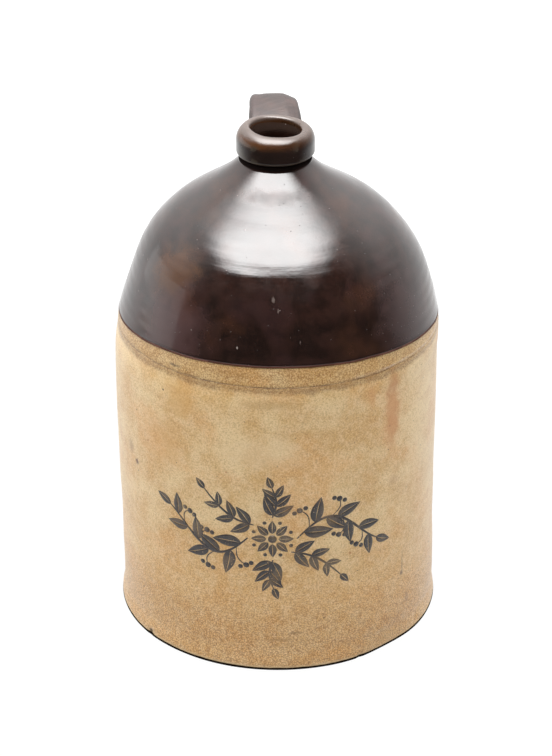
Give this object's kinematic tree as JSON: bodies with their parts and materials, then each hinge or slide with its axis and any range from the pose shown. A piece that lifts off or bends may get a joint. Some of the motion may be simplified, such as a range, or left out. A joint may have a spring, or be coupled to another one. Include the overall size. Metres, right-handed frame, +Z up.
{
  "type": "stoneware crock jug",
  "caption": "Two-tone stoneware shoulder jug with a narrow mouth for a cork and a strap handle, for storing and pouring liquids.",
  "frame": {"origin": "centre of the underside of the base", "axes": "+Z up along the jug's axis, -Y towards the front, +Y towards the handle, +X to the right"},
  "size_m": [0.2132, 0.2132, 0.3448],
  "materials": {
    "stoneware": "satin",
    "raw_clay": "matte",
    "slip_glaze": "gloss",
    "inner_slip": "gloss"
  },
  "bodies": {
    "root": {"base_disc": "raw_clay", "body_wall": "stoneware", "corner_coil": "raw_clay", "seam_lute": "raw_clay", "shoulder_dome": "stoneware", "neck": "slip_glaze", "lip_collar": "slip_glaze", "strap_handle": "slip_glaze", "handle_neck_wad": "slip_glaze", "handle_shoulder_wad": "slip_glaze", "dome_glaze_coat": "slip_glaze", "inner_glaze_lining": "inner_slip"}
  },
  "joints": []
}
